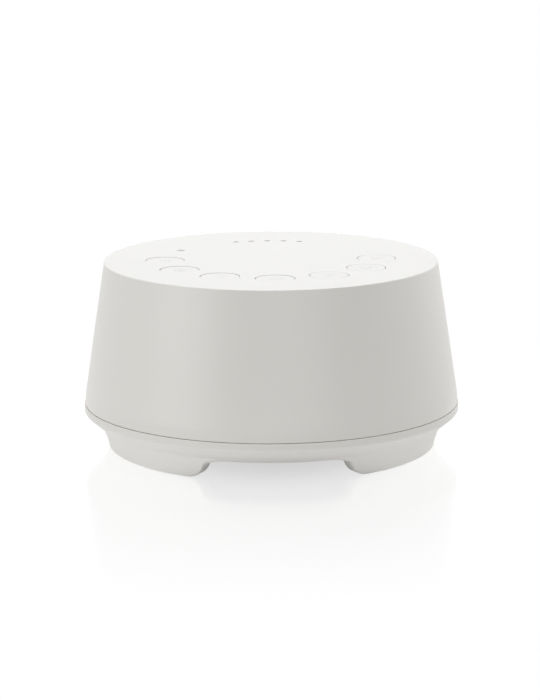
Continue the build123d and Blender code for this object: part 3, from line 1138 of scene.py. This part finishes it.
    def build(self) -> bpy.types.Object:
        """Make the housing.

        Returns:
            The finished piece.
        """
        mesh = self.pan()
        for side in (0.0, 180.0):
            mesh = combine(mesh, self.foot(side), "UNION")
        mesh = combine(mesh, self.recesses(), "DIFFERENCE")
        for fitting in self.inner_fittings():
            mesh = combine(mesh, fitting, "UNION")
        pan = piece("lower_pan", mesh, Finishes.BASE_ABS, HOUSING_BODY, ["lower_housing"])
        # the parting face in the seam gap takes the straw finish: painted shade of the seam line
        mesh.materials.append(FINISHES.get(Finishes.SEAM_SHADE_ABS))
        inner, outer = self.parting
        low, high = self.envelope.seam
        for face in mesh.polygons:
            x, y, z = face.center / MM
            if inner < math.hypot(x, y) < outer and low - self.rim_gap < z < high:
                face.material_index = 1
        return pan


@dataclass(frozen=True)
class Pads:
    """Rubber pads in the feet, with softened edges.

    Attributes:
        envelope: shared sizes.
        across: width and length of a pad.
        thickness: height of a pad.
        edge: rounding of its lower edge.
        corner: rounding of its corners.
    """

    envelope: Envelope
    across: Pair = (4.6, 14.0)
    thickness: float = 1.5
    edge: float = 0.35
    corner: float = 0.6

    def build(self) -> bpy.types.Object:
        """Make the four pads.

        Returns:
            The finished piece.
        """
        width, length = self.across
        third = 0.3 * self.edge
        levels = ((self.edge, 0.0), (third, third), (0.0, self.edge), (0.0, self.thickness))
        shell = Shell()
        for angle in PAD_ANGLES:
            at = polar(self.envelope.foot_line, angle)
            rings = []
            for inset, z in levels:
                across = (width - 2 * inset, length - 2 * inset)
                outline = rectangle(at, across, angle, self.corner)
                rings.append(shell.ring((x, y, z) for x, y in outline))
            shell.skin(rings)
        mesh = shell.mesh("rubber_pads")
        return piece("rubber_pads", mesh, Finishes.PAD_RUBBER, HOUSING_BODY, ["foot_pads"])


@dataclass(frozen=True)
class ButtonCap:
    """Round cap with a shallow dish, two retaining tabs and a cross-shaped stem.

    Attributes:
        envelope: shared sizes.
        function: which button it is.
        tops: heights of a low cap's flat rim and of a flush one's.
        bottom: height of its underside.
        edge: rounding of its upper edge.
        dish_radius: radius of the dish.
        dish_depth: depth of the dish.
        dish_steps: number of rings across the dish.
        facets: points round the cap.
        stem_bottom: height of the stem's lower end.
        stem: width of the cross and thickness of its webs.
        stem_root: how far the stem reaches into the cap.
        tab: width and length of a tab.
        tab_reach: how far a tab stands out past the cap.
    """

    envelope: Envelope
    function: Function
    tops: Pair = (74.67, 74.78)
    bottom: float = 71.2
    edge: float = 0.12
    dish_radius: float = 5.2
    dish_depth: float = 0.5
    dish_steps: int = 14
    facets: int = 72
    stem_bottom: float = 66.0
    stem: Pair = (5.0, 1.4)
    stem_root: float = 0.5
    tab: Pair = (4.0, 2.0)
    tab_reach: float = 1.1

    # these three stand a little higher than the rest, flush with the cover
    FLUSH = (Function.VOLUME_UP, Function.PREVIOUS, Function.NEXT)

    @property
    def top(self) -> float:
        """Height of the cap's flat rim."""
        return self.tops[self.function in self.FLUSH]

    @property
    def at(self) -> Pair:
        """Middle of the cap."""
        return polar(self.envelope.button_circle, self.function.value)

    def dish(self, radius: float) -> float:
        """Height of the cap's face at a distance from its middle."""
        share = min(radius / self.dish_radius, 1.0)
        return self.top - self.dish_depth * (1 - share**2) ** 1.5

    def build(self) -> bpy.types.Object:
        """Make the cap.

        Returns:
            The finished piece.
        """
        radius = self.envelope.button_radius
        profile = [(r, self.dish(r)) for r in spread(0.0, self.dish_radius, self.dish_steps + 1)[1:]]
        profile += arc((radius - self.edge, self.top - self.edge), self.edge, 90, 0, 5)
        shell = Shell()
        rings = shell.revolve([*profile, (radius, self.bottom)], self.facets, self.at)
        shell.fan(rings[0], (*self.at, self.dish(0)))
        shell.faces.append(rings[-1][::-1])
        name, node = self.function.label("cap"), self.function.label("button")
        mesh = combine(shell.mesh(name), self.fittings(), "UNION")
        return piece(name, mesh, Finishes.CAP_ABS, node, [node])

    def fittings(self) -> bpy.types.Mesh:
        """Tabs and stem under the cap.

        Returns:
            Their mesh.
        """
        at, angle = self.at, self.function.value
        shell = Shell()
        out = self.envelope.button_radius + self.tab_reach - self.tab[1] / 2
        for middle in (-out, out):
            tab = rectangle((0.0, middle), self.tab)
            shell.prism(turn(tab, angle, at), self.bottom, self.envelope.ceiling)
        a, b = self.stem[0] / 2, self.stem[1] / 2
        arm = [(a, -b), (a, b), (b, b)]
        cross = [corner for i in range(4) for corner in turn(arm, 90 * i, (0.0, 0.0))]
        shell.prism(turn(cross, angle, at), self.stem_bottom, self.bottom + self.stem_root)
        return shell.mesh("cap_fittings")


@dataclass(frozen=True)
class Symbol:
    """Generic symbol printed in thin lines in the dish of a cap.

    Attributes:
        cap: the cap that it lies on.
        stroke: width of a printed line.
        ink: thickness of the print.
        sink: how far the print's underside lies in the cap's face.
        half: half the width of a symbol.
        step: length of a straight piece of a line.
    """

    cap: ButtonCap
    stroke: float = 0.42
    ink: float = 0.02
    sink: float = 0.01
    half: float = 2.0
    step: float = 0.3

    def lines(self) -> list[list[Pair]]:
        """Centre lines of the symbol, in the cap's own plane with y away from the user.

        Returns:
            The lines, each a list of points.
        """
        h, middle = self.half, (0.0, 0.0)
        level = [(-h, 0.0), (h, 0.0)]
        hands = [(0.0, 0.65 * h), middle, (0.5 * h, -0.25 * h)]
        bar = [(h, 0.9 * h), (h, -0.9 * h)]
        triangle = [(-0.9 * h, 0.9 * h), (0.65 * h, 0.0), (-0.9 * h, -0.9 * h), (-0.9 * h, 0.9 * h)]
        match self.cap.function:
            case Function.POWER:
                return [arc(middle, h, 125, 415, 30), [(0.0, 0.35 * h), (0.0, 1.25 * h)]]
            case Function.TIMER:
                return [arc(middle, h, 0, 360, 36), hands]
            case Function.VOLUME_DOWN:
                return [level]
            case Function.VOLUME_UP:
                return [level, [(0.0, h), (0.0, -h)]]
            case Function.PREVIOUS:
                return [[(-x, y) for x, y in line] for line in (triangle, bar)]
            case _:
                return [triangle, bar]

    def ribbon(self, shell: Shell, line: list[Pair]) -> None:
        """Lay one printed line on the dish.

        Args:
            shell: mesh that the line goes into.
            line: its centre line.
        """
        at = self.cap.at
        points: list[Vector] = []
        for a, b in zip(line, line[1:]):
            first, second = Vector(a), Vector(b)
            steps = max(1, round((second - first).length / self.step))
            points += [first.lerp(second, i / steps) for i in range(steps)]
        points.append(Vector(line[-1]))
        sections = []
        for i, point in enumerate(points):
            before, after = points[max(i - 1, 0)], points[min(i + 1, len(points) - 1)]
            along = (after - before).normalized()
            side = Vector((-along.y, along.x)) * self.stroke / 2
            corners = ((side, -self.sink), (-side, -self.sink), (-side, self.ink), (side, self.ink))
            section = []
            for edge, lift in corners:
                spot = point + edge
                section.append((at[0] + spot.x, at[1] + spot.y, self.cap.dish(spot.length) + lift))
            sections.append(shell.ring(section))
        shell.skin(sections)

    def build(self) -> bpy.types.Object:
        """Print the symbol.

        Returns:
            The finished piece.
        """
        shell = Shell()
        for line in self.lines():
            self.ribbon(shell, line)
        name, node = self.cap.function.label("symbol"), self.cap.function.label("button")
        return piece(name, shell.mesh(name), Finishes.PAD_PRINT, node)


@dataclass(frozen=True)
class Keypad:
    """Silicone sheet with a spring dome under each stem.

    Attributes:
        envelope: shared sizes.
        sheet: heights of the sheet's two faces.
        dome_top: height of a dome at rest.
        width: width of the sheet.
    """

    envelope: Envelope
    sheet: Pair = (63.0, 64.0)
    dome_top: float = 66.0
    width: float = 14.0

    # (radius, height) up a dome: its foot from the sheet, and its crown from the dome's top
    DOME_FOOT = ((4.5, 0.0), (4.2, 0.5), (3.6, 1.2))
    DOME_CROWN = ((3.3, -0.25), (3.05, 0.0))

    def band(self) -> bpy.types.Object:
        """Make the sheet, a band along the row of buttons.

        Returns:
            The finished piece.
        """
        angles = [function.value for function in Function]
        middle, half = self.envelope.button_circle, self.width / 2
        outer = [polar(middle + half, angle) for angle in angles]
        inner = [polar(middle - half, angle) for angle in reversed(angles)]
        shell = Shell()
        shell.prism([*outer, *inner], *self.sheet)
        mesh = shell.mesh("keypad_sheet")
        return piece("keypad_sheet", mesh, Finishes.KEYPAD_SILICONE, HOUSING_BODY, ["keypad"])

    def dome(self, function: Function) -> bpy.types.Object:
        """Make the dome of one button.

        Args:
            function: which button it is.

        Returns:
            The finished piece.
        """
        at, base = polar(self.envelope.button_circle, function.value), self.sheet[1]
        profile = [(r, base + z) for r, z in self.DOME_FOOT]
        profile += [(r, self.dome_top + z) for r, z in self.DOME_CROWN]
        shell = Shell()
        shell.close(shell.revolve(profile, SMALL_FACETS, at))
        name, joint = function.label("dome"), function.label("press")
        obj = piece(name, shell.mesh(name), Finishes.KEYPAD_SILICONE, HOUSING_BODY)
        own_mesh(obj)
        return obj

    def build(self) -> list[bpy.types.Object]:
        """Make the sheet and its domes."""
        return [self.band(), *(self.dome(function) for function in Function)]


@dataclass(frozen=True)
class Loudspeaker:
    """Moving and flexible faces of the loudspeaker, seen through the slots.

    Attributes:
        face: height of the diaphragm's face.
        back: height of its back.
        radius: radius of the diaphragm.
        opening: radius of the frame's opening.
        former: radius and upper height of the coil's former.
        dome: height of the dome inside the former's radius.
        ribs: height and pitch of the pressed rings outside it.
        steps: number of rings of points across the diaphragm.
        facets: points round the diaphragm.
        lip: width of the surround's two lips.
        skin: thickness of the lips.
        roll: depth of the surround's half roll outside.
        roll_inside: what the inside of the roll is narrower, higher and shallower by.
        seat: how far inside the frame's opening the bend ends; not used.
        segments: number of pieces that the surround is made of.
        segment_steps: number of straight pieces along a segment.
    """

    face: float = 13.2
    back: float = 14.0
    radius: float = 27.5
    opening: float = 30.5
    former: Pair = (9.1, 26.8)
    dome: float = 0.5
    ribs: Pair = (0.12, 3.6)
    steps: int = 110
    facets: int = 128
    lip: float = 1.5
    skin: float = 0.5
    roll: float = 0.95
    roll_inside: Point = (0.3, 0.1, 0.35)
    seat: float = 0.6
    segments: int = 16
    segment_steps: int = 8

    def height(self, radius: float) -> float:
        """Height of the diaphragm's face: a low dome inside pressed rings.

        Args:
            radius: distance from the axis.

        Returns:
            The height there.
        """
        edge = self.former[0]
        if radius > edge:
            rise, pitch = self.ribs
            return self.face + rise * (0.5 - 0.5 * math.cos(math.tau * (radius - edge) / pitch))
        return self.face + self.dome * (radius / edge) ** 2 * (1 - (radius / edge) ** 6)

    def diaphragm(self) -> bpy.types.Object:
        """Make the diaphragm with its former.

        Returns:
            The finished piece.
        """
        former, top = self.former
        front = [(r, self.height(r)) for r in spread(0.0, self.radius, self.steps + 1)[1:]]
        back = [(self.radius, self.back), (former, self.back), (former, top)]
        shell = Shell()
        rings = shell.revolve([*front, *back], self.facets)
        shell.fan(rings[0], (0.0, 0.0, self.face))
        shell.faces.append(rings[-1])
        mesh = shell.mesh("diaphragm")
        return piece("diaphragm", mesh, Finishes.CONE_PAPER, CONE_BODY, ["speaker_cone"])

    def surround_profile(self) -> list[Pair]:
        """Section of the surround: a half roll between two flat lips.

        Returns:
            The closed section as (radius, height).
        """
        middle, reach = (self.radius + self.opening) / 2, (self.opening - self.radius) / 2
        low, high, lip = self.face - self.skin, self.face, self.lip
        narrower, higher, shallower = self.roll_inside
        section = [(self.radius - lip, low)]
        for c, s in arc((0.0, 0.0), 1.0, 180, 360, 12):
            section.append((middle + reach * c, low + self.roll * s))
        section += [(self.opening + lip, low), (self.opening + lip, high), (self.opening, high)]
        for c, s in arc((0.0, 0.0), 1.0, 360, 180, 12):
            section.append((middle + (reach - narrower) * c, low + higher + (self.roll - shallower) * s))
        return [*section, (self.radius, high), (self.radius - lip, high)]

    def surround(self) -> list[bpy.types.Object]:
        """Make the surround, between the cone and the frame.

        The ring is made of segments, each centred on its own radius.

        Returns:
            The finished pieces.
        """
        section = self.surround_profile()
        half, steps = 180 / self.segments, self.segment_steps
        made = []
        for number in range(self.segments):
            middle = 2 * half * number
            shell = Shell()
            rows = []
            for i in range(steps + 1):
                c, s = polar(1.0, middle + half * (2 * i / steps - 1))
                rows.append(shell.ring((r * c, r * s, z) for r, z in section))
            shell.skin(rows)
            name = f"surround_segment_{number + 1:02d}"
            mesh = shell.mesh(name)
            obj = piece(name, mesh, Finishes.SURROUND_RUBBER, None, ["speaker_surround"])
            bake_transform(obj)
            made.append(obj)
        return made

    def build(self) -> list[bpy.types.Object]:
        """Make all the pieces."""
        return [self.diaphragm(), *self.surround()]


@dataclass(frozen=True)
class CadPieces:
    """CAD nodes that stay as they are and get their finishes."""

    DRESS = {
        "main_board": Finishes.SOLDER_MASK,
        "timer_light_guide": Finishes.CLEAR_PC,
        "power_light_guide": Finishes.CLEAR_PC,
        "indicator_leds": Finishes.LED_EPOXY,
        "controller_chip": Finishes.CHIP_EPOXY,
        "amplifier_chip": Finishes.CHIP_EPOXY,
        "smoothing_capacitor": Finishes.CAN_SLEEVE,
        "speaker_socket": Finishes.SOCKET_NYLON,
        "power_socket": Finishes.SOCKET_NYLON,
        "dc_jack": Finishes.JACK_NYLON,
        "dc_jack_pin": Finishes.PIN_NICKEL,
        "speaker_frame": Finishes.FRAME_PAINT,
        "speaker_yoke": Finishes.MOTOR_ZINC,
        "speaker_terminals": Finishes.SOCKET_NYLON,
        "speaker_lead": Finishes.LEAD_PVC,
        "power_lead": Finishes.LEAD_PVC,
    }

    def dress(self, nodes: dict[str, bpy.types.Object]) -> None:
        """Give each CAD node that shows its finish.

        Args:
            nodes: the frame's nodes by name.
        """
        for name, finish in self.DRESS.items():
            if name in nodes:
                nodes[name].data.materials.clear()
                nodes[name].data.materials.append(FINISHES.get(finish))
                LOG.info("%s: %s", name, finish.name)


# ---------------------------------------------------------------- studio


@dataclass(frozen=True)
class Softbox:
    """A rectangular lamp that points at the machine.

    Attributes:
        name: name of the lamp.
        azimuth: its direction in degrees, 0 in front of the machine and 90 on its right.
        power: its power in watts.
        elevation: its height in degrees above the aim.
        distance: how far it stands from the aim.
        across: its width and height.
        tint: sRGB hex of its light.
        aim: height of the point that it faces.
    """

    name: str
    azimuth: float
    power: float
    elevation: float = 9.0
    distance: float = 1600.0
    across: Pair = (1000.0, 480.0)
    tint: str = "FFFFFF"
    aim: float = 40.0

    def build(self) -> None:
        """Hang the lamp."""
        data = bpy.data.lights.new(self.name, "AREA")
        data.shape = "RECTANGLE"
        data.size, data.size_y = self.across[0] * MM, self.across[1] * MM
        data.energy = self.power
        data.color = linear(self.tint)[:3]
        lamp = bpy.data.objects.new(self.name, data)
        bpy.context.scene.collection.objects.link(lamp)
        side, rise = math.radians(self.azimuth), math.radians(self.elevation)
        level = math.cos(rise)
        away = Vector((level * math.sin(side), -level * math.cos(side), math.sin(rise)))
        lamp.location = (away * self.distance + Vector((0, 0, self.aim))) * MM
        lamp.rotation_euler = (-away).to_track_quat("-Z", "Y").to_euler()


@dataclass(frozen=True)
class Camera:
    """Camera in front, a little above the machine and slightly rolled.

    Attributes:
        place: where it stands.
        aim: the point that it faces.
        lens: focal length.
        sensor: width of the sensor.
        shift: sideways shift of the picture, as a share of its width.
        roll: turn about its line of sight, in degrees.
        clip: nearest and furthest distance that it sees, in metres.
    """

    place: Point = (-38.6, -1023.1, 256.7)
    aim: Point = (0, 0, 37.6)
    lens: float = 133.57
    sensor: float = 36.0
    shift: float = -0.00183
    roll: float = -0.247
    clip: Pair = (0.05, 50.0)

    def build(self) -> None:
        """Set the camera up."""
        data = bpy.data.cameras.new("camera")
        data.lens, data.sensor_width, data.shift_x = self.lens, self.sensor, self.shift
        data.clip_start, data.clip_end = self.clip
        camera = bpy.data.objects.new("camera", data)
        bpy.context.scene.collection.objects.link(camera)
        camera.location = Vector(self.place) * MM
        sight = (Vector(self.aim) * MM - camera.location).to_track_quat("-Z", "Y")
        camera.rotation_mode = "QUATERNION"
        camera.rotation_quaternion = sight @ Quaternion((0, 0, 1), math.radians(self.roll))
        bpy.context.scene.camera = camera


@dataclass(frozen=True)
class Studio:
    """Pale glossy table, white surroundings, soft lamps and the camera.

    Attributes:
        floor_side: width of the table.
        floor_drop: how far the table lies below the pads.
        sheet_colour: sRGB hex of the polished sheet, which sets how deep a shadow on it is.
        polish: roughness and index of refraction of the sheet.
        bounce_colour: sRGB hex of what the table throws back of the lamps' light.
        sky: strength of the light from all round.
        lift: light that the table adds for the camera, under the machine and outside it.
        contact: radii between which that light rises; the lower light inside them is a painted shadow of the machine.
        shade: radii between which the light that comes up through the table rises.
        shade_draw: how much narrower both shades are from foot to foot than from front to back.
        rise: the light through the table under the machine, and just outside it.
        reach: radii between which it falls off again.
        fall: shares of it that are left there.
        fade: radii between which the table turns from glossy to plain white for the camera.
        lamps: the softboxes.
    """

    floor_side: float = 6000.0
    floor_drop: float = 0.01
    sheet_colour: str = "404040"
    polish: Pair = (0.14, 1.49)
    bounce_colour: str = "595959"
    sky: float = 0.2
    lift: Pair = (0.585, 0.745)
    contact: Pair = (30.0, 80.0)
    shade: Pair = (66.0, 77.0)
    shade_draw: float = 1.25
    rise: Pair = (0.06, 0.67)
    reach: Pair = (85.0, 220.0)
    fall: Pair = (1.0, 0.85)
    fade: Pair = (82.0, 232.0)
    lamps: tuple[Softbox, ...] = (
        Softbox("rear_overhead_softbox", 180.0, 21.2, 79.0, 1500.0, (1300.0, 1300.0), "F8FAFF"),
        Softbox("front_softbox", 14.0, 2.75, across=(1200.0, 480.0)),
        Softbox("left_softbox", -62.0, 5.6, across=(1200.0, 480.0)),
        Softbox("left_rear_softbox", -105.0, 0.9),
        Softbox("right_softbox", 95.0, 3.0, elevation=17.0),
        Softbox("right_rear_softbox", 130.0, 2.0),
    )

    def table(self) -> None:
        """Lay the table."""
        half = self.floor_side / 2
        mesh = bpy.data.meshes.new("table_top")
        square = [(-half, -half), (half, -half), (half, half), (-half, half)]
        points = [(x * MM, y * MM, -self.floor_drop * MM) for x, y in square]
        mesh.from_pydata(points, [], [[0, 1, 2, 3]])
        floor = bpy.data.objects.new("table_top", mesh)
        bpy.context.scene.collection.objects.link(floor)
        mesh.materials.append(self.acrylic())

    def acrylic(self) -> bpy.types.Material:
        """Make the table's material: a lit sheet of white acrylic, with a slight blur in its mirror.

        Returns:
            The finished material.
        """
        material, tree = empty_material("polished_white_acrylic_sheet")
        rough, ior = self.polish
        surface = {"Base Color": linear(self.sheet_colour), "Roughness": rough, "IOR": ior}
        sheet = add_node(tree, "ShaderNodeBsdfPrincipled", values=surface)
        place = add_node(tree, "ShaderNodeTexCoord").outputs["Object"]
        radius = add_node(tree, "ShaderNodeVectorMath", {"operation": "LENGTH"}, links={0: place})
        # the shades stop at the feet and reach out through the gaps at the front and the back
        draw = {1: (self.shade_draw, 1.0, 1.0)}
        drawn_in = add_node(tree, "ShaderNodeVectorMath", {"operation": "MULTIPLY"}, draw, {0: place})
        shaded = add_node(
            tree, "ShaderNodeVectorMath", {"operation": "LENGTH"}, links={0: drawn_in.outputs[0]}
        )
        # the polish gives way to plain white further out, so the mirror image dies away
        far, outside, beyond, under = (
            add_node(
                tree,
                "ShaderNodeMapRange",
                {"interpolation_type": "SMOOTHSTEP"},
                {"From Min": start * MM, "From Max": end * MM, "To Min": first, "To Max": last},
                {"Value": distance.outputs["Value"]},
            ).outputs[0]
            for distance, (start, end), (first, last) in (
                (radius, self.fade, (0.0, 1.0)),
                (shaded, self.shade, self.rise),
                (radius, self.reach, self.fall),
                # the camera's lift is lower under the machine: a painted contact shadow
                (shaded, self.contact, self.lift),
            )
        )
        product = add_node(tree, "ShaderNodeMath", {"operation": "MULTIPLY"}, links={0: outside, 1: beyond})
        plain = add_node(tree, "ShaderNodeBsdfDiffuse", values={"Color": linear(self.bounce_colour)})
        glossy, lit = (
            add_node(
                tree,
                "ShaderNodeAddShader",
                links={
                    0: base.outputs[0],
                    1: add_node(tree, "ShaderNodeEmission", links={"Strength": strength}).outputs[0],
                },
            ).outputs[0]
            for base, strength in ((sheet, under), (plain, product.outputs[0]))
        )
        white = add_node(tree, "ShaderNodeEmission", values={"Strength": 1.0}).outputs[0]
        seen = add_node(tree, "ShaderNodeMixShader", links={0: far, 1: glossy, 2: white}).outputs[0]
        direct = self.direct_rays(tree)
        front = add_node(tree, "ShaderNodeMixShader", links={0: direct, 1: lit, 2: seen}).outputs[0]
        # clear from underneath, so that a view from below shows the feet and the grille
        below = add_node(tree, "ShaderNodeNewGeometry").outputs["Backfacing"]
        clear = add_node(tree, "ShaderNodeBsdfTransparent").outputs[0]
        surface_output(tree, add_node(tree, "ShaderNodeMixShader", links={0: below, 1: front, 2: clear}))
        return material

    @staticmethod
    def direct_rays(tree: bpy.types.NodeTree) -> bpy.types.NodeSocket:
        """Add a factor that is 1 for the camera, mirrors and glass, and 0 for diffuse light.

        Args:
            tree: node tree that the factor goes into.

        Returns:
            The factor's socket.
        """
        rays = add_node(tree, "ShaderNodeLightPath").outputs
        factor = rays["Is Camera Ray"]
        for kind in ("Is Glossy Ray", "Is Transmission Ray"):
            links = {0: factor, 1: rays[kind]}
            factor = add_node(tree, "ShaderNodeMath", {"operation": "MAXIMUM"}, links=links).outputs[0]
        return factor

    def surroundings(self) -> None:
        """White to the camera and in reflections, and a plain soft light to everything else."""
        world = bpy.data.worlds.new("white_surroundings")
        bpy.context.scene.world = world
        world.use_nodes = True
        tree = world.node_tree
        tree.nodes.clear()
        span, direct = {"To Min": self.sky, "To Max": 1.0}, self.direct_rays(tree)
        strength = add_node(tree, "ShaderNodeMapRange", values=span, links={"Value": direct}).outputs[0]
        light = add_node(
            tree, "ShaderNodeBackground", values={"Color": (1, 1, 1, 1)}, links={"Strength": strength}
        )
        add_node(tree, "ShaderNodeOutputWorld", links={"Surface": light.outputs[0]})

    def build(self) -> None:
        """Set up the whole studio."""
        self.table()
        self.surroundings()
        for lamp in self.lamps:
            lamp.build()
        Camera().build()
        bpy.context.scene.view_settings.view_transform = "Standard"


def corners(box: tuple[Vector, Vector]) -> list[list[float]]:
    """Turn a box into plain lists of numbers."""
    return [list(box[0]), list(box[1])]


def main() -> None:
    """Load the frame and build every sub-assembly."""
    logging.basicConfig(level=logging.INFO, format="%(name)s: %(message)s")
    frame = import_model()
    Studio().build()
    envelope = Envelope()
    UpperHousing(envelope).build()
    BoardPegs().build()
    LowerHousing(envelope).build()
    Pads(envelope).build()
    for function in Function:
        cap = ButtonCap(envelope, function)
        cap.build()
        Symbol(cap).build()
    for window in WINDOWS:
        window.build(envelope)
    Keypad(envelope).build()
    Loudspeaker().build()
    CadPieces().dress(frame["nodes"])


if __name__ == "__main__":
    main()
